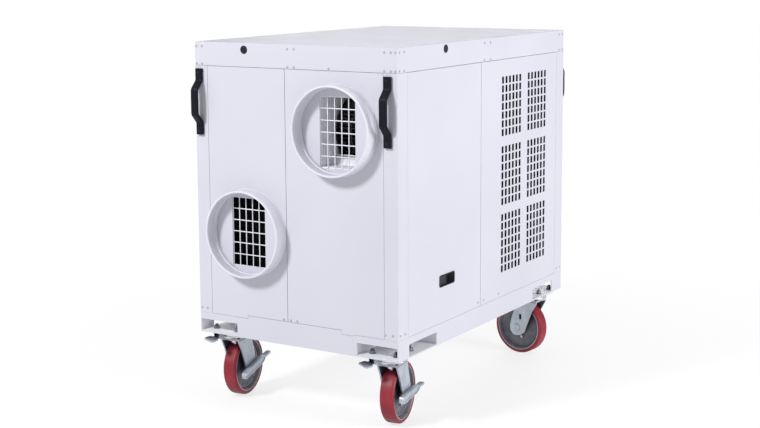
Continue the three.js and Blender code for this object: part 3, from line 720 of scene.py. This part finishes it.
def fan_blade(root, tip):
    """A cambered blade in the XY plane of the fan's own axis Z, wider and flatter towards its tip."""
    count, half_thickness = 9, Vector((0, 0, 0.8))
    loops = []
    for i in range(count):
        share = i / (count - 1)
        radius = root + (tip - root) * share
        chord = 66 + 52 * share ** 0.8
        pitch = math.radians(36 - 15 * share)
        row = []
        for j in range(count):
            along = (j / (count - 1) - 0.5) * chord
            camber = 7 * (1 - (2 * along / chord) ** 2) - 3.5
            turn = (along * math.cos(pitch) - camber * math.sin(pitch) + 16 * share) / radius
            height = along * math.sin(pitch) + camber * math.cos(pitch)
            row.append(Vector((radius * math.cos(turn), radius * math.sin(turn), height)))
        upper = [point + half_thickness for point in row]
        lower = [point - half_thickness for point in reversed(row)]
        loops.append(upper + lower)
    return loft(loops)


def make_fan():
    low, high = node_box("condenser_fan")
    half = (high.y - low.y) / 2
    tip = (high.z - low.z) / 2 - 4
    place, count = laid("Y", *FAN), 5
    blades = around(fan_blade(40, min(tip, 210)), count)
    piece("fan_blades", blades, "blade", "condenser_fan", ["condenser_fan"], place, smooth=40)
    hub = [(0, -half), (38, -half), (44, -half + 6), (45, half - 7), (41, half - 1), (18, half),
           (16, half - 5), (0, half - 5)]
    shells = [lathe(hub, 48)]
    arm = shifted(prism(rectangle(-16, 16, -22, 22, 6), -1.2, 1.2), 52)
    for shell in (arm, *[shifted(rivet(4, 2), 56, y, 1.2) for y in (-12, 12)]):
        shells += around(shell, count, 8)
    piece("fan_hub", shells, "motor", "condenser_fan", place=place)


def make_fan_guard():
    low, high = node_box("fan_guard")
    radius = (high.x - low.x) / 2
    rim_wire, ring_wire, spoke_wire, dome = 2.8, 1.8, 1.9, 4.2
    shells = [hoop(radius - 6, rim_wire, 2.9, 96)]
    shells += [hoop(r, ring_wire, dome) for r in (206, 178, 150, 122, 94, 66)]
    spoke = filleted([(40, 0, dome - 2.4), (200, 0, dome - 2.4), (radius - 6, 0, 2.6)], 10, closed=False)
    shells += around(wire(spoke, spoke_wire), 12)
    shells.append(lathe([(0, 0.4), (48, 0.4), (50, 2), (48, 3.6), (40, 4.6), (0, 5.6)], 64))
    foot = shifted(prism(rectangle(-16, 13, -9, 9, 5), 0, 2), radius - 13)
    screw = shifted(screw_head(5, 2.6), radius - 17, 0, 2)
    shells += around(foot, 4, 45) + around(screw, 4, 45)
    piece("fan_wire_guard", shells, "dark_wire", replaces=["fan_guard"],
          place=laid("Y", FAN.x, low.y, FAN.z))


def make_fan_motor():
    low, high = node_box("fan_motor")
    radius, reach = (high.z - low.z) / 2, (high.x - low.x) / 2
    length, arm = 102, 8
    can = [(0, 0), (radius - 14, 0), (radius - 3, 5), (radius - 3, 16), (radius, 18), (radius, length - 18),
           (radius - 3, length - 16), (radius - 3, length - 5), (radius - 16, length), (0, length)]
    ribs = around(box(radius - 4, radius - 0.2, -1.2, 1.2, 20, length - 20), 24, 7)
    tip = length + 23.6
    shaft = lathe([(0, length - 2), (8, length - 2), (8, tip - 0.6), (7, tip), (0, tip)], 24)
    piece("fan_motor_body", [lathe(can, 64), *ribs, shaft], "motor",
          place=laid("Y", FAN.x, low.y, FAN.z), smooth=30)
    y1 = low.y + length
    bars = [prism(rectangle(-reach, reach, -15, 15, 3), y1 - arm, y1, "Y")]
    for side in (-1, 1):
        x0, x1 = sorted((side * reach, side * (reach - 6)))
        bars.append(box(x0, x1, y1 - arm, high.y, -15, 15))
    piece("fan_motor_bracket", bars, "sheet", replaces=["fan_motor"],
          place=[Matrix.Translation((FAN.x, 0, FAN.z))], bevel=1.2)


# ---- coils: fins, tubes and end plates ----
def make_coil(node, axis):
    """A finned coil whose tubes run along X or Y between two end plates."""
    low, high = node_box(node)
    run, across = (0, 1) if axis == "X" else (1, 0)
    start, end, near, far = low[run], high[run], low[across], high[across]
    plate, pitch, fin, tube, row_pitch = 2.0, 7.0, 0.8, 5.0, 38
    outline = rectangle(near + 4, far - 4, low.z + 6, high.z - 6)
    fins = []
    count = int((end - start - 16) / pitch)
    for k in range(count + 1):
        at = start + 8 + k * (end - start - 16) / count
        fins.append(prism(outline, at - fin / 2, at + fin / 2, axis))
    piece(f"{node}_fins", fins, "fins")
    frame_outline = rectangle(near, far, low.z, high.z, 3)
    plates = [prism(frame_outline, t, t + plate, axis) for t in (start + 5, end - 5 - plate)]
    piece(f"{node}_end_plates", plates, "sheet", replaces=[node], bevel=0.5)
    tubes = []
    for row in range(int((high.z - low.z - 60) / row_pitch)):
        z = low.z + 30 + row * row_pitch
        for depth in (0.3, 0.7):
            middle = near + (far - near) * depth
            path = [(t, middle, z) if axis == "X" else (middle, t, z) for t in (start + 2, end - 2)]
            tubes.append(wire(path, tube, sides=10))
    piece(f"{node}_tubes", tubes, "copper")


# ---- compressor ----
def make_compressor():
    low, high = node_box("compressor")
    centre = (low + high) / 2
    height = high.z - low.z
    radius = 105
    outline = [(0, 8), (84, 8), (radius, 34), (radius, height - 92), (radius - 6, height - 60),
               (62, height - 12), (0, height - 1)]
    profile = filleted(outline, [0, 16, 30, 60, 60, 40, 0], closed=False, steps=6)
    seam = [(radius - 3, height - 100), (radius + 2.4, height - 97), (radius + 2.4, height - 91),
            (radius - 3, height - 88)]
    mounts = square(92)
    holes = [ellipse(8, 8, 20, spot) for spot in mounts]
    base = prism(rectangle(-113, 113, -113, 113, 26), 3, 8, holes=holes)
    terminal = shifted(prism(rectangle(-30, 30, -26, 26, 6), radius - 12, 112, "X"), z=height * 0.55)
    place = [Matrix.Translation((centre.x, centre.y, low.z))]
    piece("compressor_shell", [lathe(profile, 64), lathe(seam, 64), base, terminal], "shell",
          replaces=["compressor"], place=place, smooth=32)
    foot = lathe([(3, 0), (14, 0), (16, 3), (12, 9), (14, 12), (3, 12)], 24)
    grommets = [shifted(foot, u, v) for u, v in mounts]
    piece("compressor_grommets", grommets, "pad", place=place)


# ---- supply blower: ribs pressed into the duct's walls, and the wheel ----
def make_duct_ribs():
    low, high = node_box("supply_guard")
    count, pitch, fall = 9, 10, 4
    shells = []
    for x in (low.x + 5, high.x - 5):
        for k in range(count):
            y = high.y + 8 + pitch * k
            shells.append(prism(ellipse(0.9, 1.8, 12, (x, y)), low.z + 22 + fall * k, high.z - 8))
    piece("supply_duct_ribs", shells, "housing")


def make_blower_wheel():
    low, high = node_box("blower_wheel")
    half, radius = (high.x - low.x) / 2, (high.z - low.z) / 2
    centre = joint_point("supply_blower_spin")
    band = [(radius - 16, -1.5), (radius, -1.5), (radius, 1.5), (radius - 16, 1.5)]
    shells = [shifted(lathe(filleted(band, 1.2), 64), z=t) for t in (-half + 1.6, half - 1.6)]
    back = [(0, -2), (radius - 1, -2), (radius, 0), (radius - 1, 2), (0, 2)]
    shells.append(lathe(back, 64))
    shells.append(lathe([(0, -22), (22, -22), (24, -20), (24, 20), (22, 22), (0, 22)], 40))
    arc = [(radius - 2 - 14 * s, 9 * math.sin(math.pi * s * 0.5)) for s in (0, 0.25, 0.5, 0.75, 1)]
    vane = [*arc, *[(u - 0.4, v + 1.1) for u, v in reversed(arc)]]
    shells += around(prism(vane, -half + 2, half - 2), 40)
    piece("blower_cage", shells, "shell", "supply_blower_wheel", ["blower_wheel"],
          place=laid("X", *centre), smooth=30)


# ---- controls on the rear face ----
def make_controls():
    low, high = node_box("control_plate")
    middle = (low + high) / 2
    face = low.y + 2.7
    outline = rectangle(low.x, high.x, low.z, high.z, 8, steps=6)
    piece("control_face", [prism(outline, low.y, face, "Y")], "grey",
          replaces=["control_plate"], bevel=0.8)

    def on_face(x, z):
        return [aimed(Vector((x, face, z)), (0, 1, 0))]

    inset, side_inset = 9, 32
    screws = [moved(screw_head(3.4, 1.8), *on_face(x, z))
              for x in (low.x + inset, high.x - inset) for z in (low.z + inset, high.z - inset)]
    piece("control_screws", screws, "bright")
    knob = joint_point("thermostat_turn")
    marks, first_angle, step = [], 135, 27
    for k in range(11):
        reach = 31 if k % 5 else 33.5
        mark = prism(rectangle(-0.6, 0.6, 26.5, reach, 0.4, 2), 0, 0.4)
        marks.append(spun(mark, first_angle - step * k))
    piece("dial_marks", marks, "light_wire", place=on_face(knob.x, knob.z))
    lamp = lathe([(0, -1), (5, -1), (5, 1.5), (3.6, 3.4), (1.6, 4.2), (0, 4.4)], 32)
    bezel = lathe([(5.1, -0.5), (7.4, -0.5), (7.4, 1.2), (6.6, 2), (5.1, 2)], 32)
    spot = on_face(high.x - side_inset, middle.z)
    piece("power_lamp", [lamp], "lens", place=spot)
    piece("power_lamp_bezel", [bezel], "bright", place=spot)
    make_inlet(on_face(low.x + side_inset, middle.z), high.y - face)

    low, high = node_box("thermostat_knob")
    radius, depth = (high.z - low.z) / 2, high.y - low.y
    skirt = [(0, 0), (radius, 0), (radius, 3), (radius - 2, 5), (radius - 4, depth - 8),
             (radius - 6, depth - 6), (0, depth - 6)]
    ribs = around(prism(ellipse(1.0, 1.1, 8, (radius - 3.2, 0)), 4, depth - 8), 24)
    grip = prism(rectangle(-4, 4, -radius + 3, radius - 3, 3.6), depth - 8, depth)
    place = laid("Y", knob.x, low.y, knob.z)
    piece("thermostat_dial", [lathe(skirt, 48), *ribs, grip], "plastic", "thermostat_knob",
          ["thermostat_knob"], place, smooth=30)
    pointer = prism(rectangle(-1, 1, -radius + 5, -4, 0.8, 3), depth - 0.2, depth + 0.3)
    piece("thermostat_pointer", [pointer], "light_wire", "thermostat_knob", place=place)


def make_inlet(place, proud):
    """A round three-pin power inlet on a square flange."""
    flange = prism(rectangle(-21, 21, -21, 21, 4), -0.4, 2.4)
    shroud = [(0, 1), (17, 1), (17, 5), (16, proud - 1), (15, proud), (13.6, proud), (13, proud - 1),
              (13, 3), (0, 3)]
    piece("power_inlet", [flange, lathe(shroud, 48)], "plastic", place=place,
          smooth=30)
    pin = lathe([(0, 2), (2.2, 2), (2.2, proud - 3), (1.2, proud - 2), (0, proud - 2)], 20)
    screw = screw_head(2.8, 1.6)
    metal = around(shifted(pin, 7.2), 3, 30)
    metal += [shifted(screw, u, v, 2.4) for u, v in square(17)]
    piece("power_inlet_pins", metal, "bright", place=place, smooth=30)


# ---- casters ----
CASTERS = sorted(name[: -len("_swivel")] for name in JOINTS if name.endswith("_swivel"))
LEG_INNER, LEG = 30, 5  # a fork leg's inner face from the wheel's middle, and its thickness
CROWN_LOW, CROWN_TOP = 205.5, 213.7  # the fork's crown above the floor
AXLE = 9.5  # its radius
BRAKE_INNER, BRAKE_LIP = 35.3, 56  # the brake pedal's near and far sides from the wheel's middle


def caster_places(name):
    """The plate's matrix, the yoke's at rest, and the axle's distance behind the king pin and height."""
    pin, wheel = joint_point(f"{name}_swivel"), joint_point(f"{name}_roll")
    axis = JOINTS[f"{name}_roll"]["axis"]
    plate = Matrix.Translation((pin.x, pin.y, 0))
    yoke = plate @ Matrix.Rotation(math.atan2(axis[1], axis[0]), 4, "Z")
    return plate, yoke, (wheel - pin).xy.length, wheel.z


def make_caster_plate(name, plate, has_lock):
    half, bolt_reach, ear_tip = 57, 44, 216
    top = node_box(f"{name}_plate")[1].z
    bolts = square(bolt_reach)
    slots = [rectangle(u - 7, u + 7, v - 5.5, v + 5.5, 5.4, steps=4) for u, v in bolts]
    under = top - 6.5
    shells = [prism(rectangle(-half, half, -half, half, 7), under, top, holes=slots)]
    if has_lock:
        hinge = joint_point(f"{name}_lock_lift") - plate.translation
        turn = Matrix.Rotation(math.atan2(hinge.y, hinge.x), 4, "Z")
        reach = hinge.xy.length
        root = under - 0.2
        ear = filleted([(reach - 12, root), (reach - 9, ear_tip), (reach + 7, ear_tip), (reach + 9, root)],
                       [0, 7, 7, 0])
        shells += [moved(prism(ear, side * 18 - 2.3, side * 18 + 2.3, "Y"), turn) for side in (-1, 1)]
    piece(f"{name}_top_plate", shells, "zinc", replaces=[f"{name}_plate"], place=[plate],
          bevel=0.9)
    cup = filleted([(0, top - 6), (47, top - 6), (50.5, top - 12), (50, top - 19), (43, CROWN_TOP + 0.5),
                    (0, CROWN_TOP + 0.5)], [0, 2, 4, 6, 2, 0], closed=False, steps=6)
    groove = [(45, 222.2), (51.6, 222.2), (51.9, 223.2), (51.6, 224.2), (45, 224.2)]
    piece(f"{name}_raceway", [lathe(cup, 64), lathe(groove, 64)], "bright",
          place=[plate])
    nut_low = top + 5.6
    bolt_head = [(0, top - 9.4), (6, top - 9), (10, top - 7.2), (10, top - 6.4), (0, top - 6.4)]
    parts = [washer(11, 5.4, nut_low, nut_low + 1.8), hexagon(9.6, nut_low + 1.8, nut_low + 10),
             bolt_end(5.3, nut_low + 9, nut_low + 16), lathe(bolt_head, 28)]
    hardware = [shifted(part, u, v) for u, v in bolts for part in parts]
    piece(f"{name}_plate_bolts", hardware, "zinc", place=[plate], bevel=0.5)


def make_fork(name, yoke, trail, height):
    outer = LEG_INNER + LEG
    leg = [(-35, CROWN_TOP - 4), (-35, CROWN_TOP - 12), (-15, 168), (9, 107), (17, 86), (33, 73.5),
           (trail, 70), (68, 74), (79, 88), (80, 108), (72, 140), (55, 188), (50, CROWN_TOP - 4)]
    rounding = [0, 8, 30, 30, 14, 14, 14, 14, 14, 40, 60, 20, 0]
    outline = filleted(leg, rounding, steps=6)
    bore = ellipse(AXLE + 0.4, AXLE + 0.4, 28, (trail, height))
    slot = rectangle(trail - 22, trail - 12, height + 32, height + 53, 4)
    shells = [
        prism(outline, -outer, -LEG_INNER, "X", holes=[bore, slot]),
        prism(outline, LEG_INNER, outer, "X", holes=[bore]),
    ]
    front = [(-outer, -35.5), (-LEG_INNER, -35.5), (-18, -30)]
    rear = [(outer, 51.5), (LEG_INNER, 51.5), (18, 44)]
    crown = []
    for half in (front, rear):
        crown += [*half, *[(-u, v) for u, v in reversed(half)]]
    shells.append(prism(filleted(crown, [2, 6, 14, 14, 6, 2] * 2), CROWN_LOW, CROWN_TOP))
    pressed = lathe([(0, CROWN_LOW - 3), (26, CROWN_LOW - 3), (28, CROWN_LOW + 1), (0, CROWN_LOW + 1)], 40)
    piece(f"{name}_pressed_fork", [*shells, pressed], "zinc", f"{name}_yoke",
          [f"{name}_fork"], [yoke], bevel=1.1)
    nut = [hexagon(14, CROWN_LOW - 12, CROWN_LOW - 3), bolt_end(8, CROWN_LOW - 18, CROWN_LOW - 10)]
    piece(f"{name}_king_nut", nut, "bright", f"{name}_yoke", place=[yoke], bevel=0.6)


def make_axle(name, place, has_brake):
    outer = LEG_INNER + LEG + 0.3
    shells = [
        lathe([(0, -outer - 1), (AXLE, -outer - 1), (AXLE, outer + 10), (0, outer + 10)], 28),
        lathe([(0, -outer - 5), (7, -outer - 4.8), (11.5, -outer - 3.6), (14, -outer - 1.2), (14.3, -outer),
               (0, -outer)], 48),
    ]
    if not has_brake:
        shells.append(hexagon(15, outer, outer + 8))
    piece(f"{name}_axle_bolt", shells, "zinc", f"{name}_yoke", [f"{name}_axle"], place,
          bevel=0.7)


def make_wheel(name, place, height, has_brake):
    body = f"{name}_wheel"
    low, high = node_box(f"{name}_hub")
    rim = (high.z - low.z) / 2 / math.cos(math.pi / 24)

    def turned(half_profile, rounding, steps=5):
        """A profile symmetrical about the wheel's middle plane, from one bore edge round to the other."""
        mirrored = [(r, -t) for r, t in reversed(half_profile)]
        radii = [*rounding, *reversed(rounding)]
        return lathe(filleted([*half_profile, *mirrored], radii, steps=steps), 96)

    hub = turned([(AXLE + 0.7, 27), (22, 27), (27, 15), (rim - 17, 8.5), (rim - 12, 10), (rim - 6, 20.5),
                  (rim - 2.1, 21.5), (rim - 2.1, 16)], [0.5, 3, 8, 8, 3, 3, 1, 1])
    seal = turned([(12, 28.6), (18, 28.6), (18, 20), (12, 20)], [0.6, 0.6, 0, 0], 3)
    nipple = moved(lathe([(0, 0), (5.4, 0), (5.4, 4), (3.4, 5), (4.4, 7), (3, 9), (0, 9)], 16),
                   *laid("X", 36, 0, 17 if has_brake else -17))
    piece(f"{name}_cast_hub", [hub], "iron", body, [f"{name}_hub"], place, smooth=30)
    piece(f"{name}_hub_fittings", [seal, spun(nipple, -18)], "bright", body, place=place,
          smooth=30)
    # The rim rings take the bright rim metal: a painted highlight along the hub's rim.
    rings = [turned([(rim - 2.0, 22.6), (rim + 0.6, 22.6), (rim + 0.6, 14), (rim - 2.0, 14)],
                    [0.6, 0.9, 0, 0], 4)]
    # The inner lip ring on braked wheels carries the same painted highlight, a light arc on the hub.
    if has_brake:
        rings.append(turned([(rim - 14, 8), (rim - 14, 11.6), (rim - 12.2, 11.6), (rim - 12.2, 8)],
                            [0, 0.7, 0.7, 0], 4))
    piece(f"{name}_rim", rings, "rim", body, place=place, smooth=30)
    tread = turned([(rim + 0.7, 23.2), (rim + 5, 25), (height, 19), (height, 8)], [0.8, 2.5, 7, 0], 8)
    piece(f"{name}_tyre", [tread], "tread", body, [f"{name}_tread"], place, smooth=30)


def make_brake(name, yoke, trail, height):
    tilt = -JOINTS[f"{name}_brake_press"]["range_deg"][0]
    place = (Matrix.Rotation(math.radians(tilt), 4, "X"), Matrix.Translation((0, trail, height)), yoke)
    stations = [(-77, -13, 0), (-74, -16, 5), (-62, -17, 8), (-52, -15.5, 10), (38, -14, 13), (52, -10, 12),
                (62, -5, 9.5), (66, 1, 7)]

    def pressing(y, low, high):
        """A box section whose outer face is pressed in between two borders."""
        face, border = BRAKE_LIP - 4, (high - low) * 0.22
        sunk, chamfer = face - 1.8, 4
        section = [(BRAKE_INNER, low), (face - 1.5, low), (face, low + 1.4), (face, low + border),
                   (sunk, low + border + 1), (sunk, high - border - 1), (face, high - border),
                   (face, high - 1.4), (face - chamfer, high), (BRAKE_INNER, high)]
        return [(x, y, z) for x, z in section]

    body = f"{name}_brake_lever"
    pedal = loft([pressing(*station) for station in stations])
    piece(f"{name}_brake_pedal", [pedal], "zinc", body, [body], place, bevel=1.2)
    tab = prism(rectangle(BRAKE_INNER + 1, BRAKE_LIP - 1, 57, 103, 6), 2.2, 8.8)
    ridges = [prism(rectangle(BRAKE_INNER + 4, BRAKE_LIP - 4, y, y + 2, 0.8, 2), 8.6, 9.6)
              for y in (78, 84, 90, 96)]
    piece(f"{name}_brake_tab", [tab, *ridges], "zinc", body, place=place, bevel=1.4)


def make_lock(name, plate):
    hinge = joint_point(f"{name}_lock_lift")
    local = hinge - plate.translation
    turn = math.atan2(local.y, local.x)
    place = (Matrix.Rotation(math.radians(10), 4, "Y"), Matrix.Rotation(turn, 4, "Z"),
             Matrix.Translation(hinge))
    half = [(-5, -14.5), (14, -14.5), (18, -31), (40, -31), (43, -24)]
    outline = filleted([*half, *[(u, -v) for u, v in reversed(half)]], [3, 4, 8, 6, 6, 6, 6, 8, 4, 3])
    ridges = [prism(rectangle(22, 39, v - 1.5, v + 1.5, 1.4, 3), 2, 3.6) for v in (-22, -11, 0, 11, 22)]
    barrel = wire([(0, -14, 0), (0, 14, 0)], 4.6, sides=20)
    body = f"{name}_swivel_lock"
    piece(f"{name}_lock_pedal", [prism(outline, -2.4, 2.4), *ridges, barrel], "zinc", body,
          [body], place, bevel=0.9)
    pin = wire([(0, -21.5, 0), (0, 21.5, 0)], 2.2, sides=16)
    piece(f"{name}_lock_pin", [pin], "bright", place=place)


def make_casters():
    for name in CASTERS:
        plate, yoke, trail, height = caster_places(name)
        has_brake = f"{name}_brake_press" in JOINTS
        make_caster_plate(name, plate, has_brake)
        make_fork(name, yoke, trail, height)
        axle = (*laid("X", 0, trail, height), yoke)
        make_axle(name, axle, has_brake)
        make_wheel(name, axle, height, has_brake)
        if has_brake:
            make_brake(name, yoke, trail, height)
            make_lock(name, plate)


# ---- camera, floor and light ----
CAMERA_PLACE = (2.6330, -4.3234, 1.4911)  # it and the other camera values are fitted to the photo
CAMERA_ANGLES = (31.74, 8.02, -0.32)  # azimuth, elevation and roll
LENS, SHIFT_Y = 68.33, -0.07


def make_camera():
    data = bpy.data.cameras.new("camera")
    data.lens = LENS
    data.sensor_width = 36
    data.shift_y = SHIFT_Y
    a, e, r = (math.radians(angle) for angle in CAMERA_ANGLES)
    back = Vector((math.sin(a) * math.cos(e), -math.cos(a) * math.cos(e), math.sin(e)))
    across = Vector((math.cos(a), math.sin(a), 0))
    above = back.cross(across)
    right = across * math.cos(r) + above * math.sin(r)
    up = above * math.cos(r) - across * math.sin(r)
    turn = Matrix((right, up, back)).transposed().to_4x4()
    camera = add_object("camera", data)
    camera.matrix_world = Matrix.Translation(CAMERA_PLACE) @ turn
    bpy.context.scene.camera = camera


FLOOR_REACH = 30


def make_floor():
    surface = Surface("studio_floor", 0.7, Specular_IOR_Level=0.2)
    surface.colour((0.84, 0.84, 0.85), (0.86, 0.86, 0.87), 0.8)
    surface.grain(60, 0.2)
    surface.fade_out(0.3, 2.2, 0.68)
    mesh = bpy.data.meshes.new("studio_floor")
    corners = [(x * FLOOR_REACH, y * FLOOR_REACH, 0) for x, y in ((-1, -1), (1, -1), (1, 1), (-1, 1))]
    mesh.from_pydata(corners, [], [(0, 1, 2, 3)])
    mesh.materials.append(surface.material)
    floor = add_object("studio_floor", mesh)
    floor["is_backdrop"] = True


LIGHTS = {  # place, aim, size across, watts
    "key": ((-1.7, -5.1, 4.4), (0, 0, 0.7), 1.1, 322),
    "side": ((5.0, 0.0, 1.9), (0.2, 0.2, 0.7), 2.0, 187),
    "back": ((-2.6, 5.0, 2.4), (0, 0, 0.8), 3.0, 50),
    "left": ((-5.0, 1.0, 1.1), (-0.4, 0.2, 0.7), 2.5, 80),
    "rear": ((-0.8, 5.6, 1.1), (0.0, 0.6, 0.7), 2.0, 85),
}
FILL = 0.42  # how bright the white surroundings are to all but the camera


def make_lights():
    for name, (place, aim, size, watts) in LIGHTS.items():
        data = bpy.data.lights.new(name, "AREA")
        data.size = size
        data.energy = watts
        add_object(name, data).matrix_world = aimed(place, Vector(place) - Vector(aim))
    world = bpy.data.worlds.new("studio")
    world.use_nodes = True
    tree = world.node_tree
    fill = tree.nodes["Background"]
    set_sockets(fill, {"Color": (*WHITE, 1), "Strength": FILL})
    backdrop = new_node(tree, "ShaderNodeBackground", {"Color": (*WHITE, 1), "Strength": 1.0})
    choice = new_node(tree, "ShaderNodeMixShader", {
        "Fac": new_node(tree, "ShaderNodeLightPath", {}).outputs["Is Camera Ray"],
        1: fill.outputs["Background"], 2: backdrop.outputs["Background"]})
    set_sockets(tree.nodes["World Output"], {"Surface": choice.outputs["Shader"]})
    bpy.context.scene.world = world
    bpy.context.scene.view_settings.view_transform = "Standard"


make_camera()
make_floor()
make_lights()
finish_sheet_metal()
make_rivets()
make_collars()
make_guards()
make_handles()
make_latch()
make_plugs()
make_fan()
make_fan_guard()
make_fan_motor()
make_coil("evaporator_coil", "X")
make_coil("condenser_coil", "Y")
make_compressor()
make_duct_ribs()
make_blower_wheel()
make_controls()
make_casters()

VISUAL_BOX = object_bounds()
boxes = {"cad": CAD_BOX, "visual": VISUAL_BOX}
{key: [list(low), list(high)] for key, (low, high) in boxes.items()}
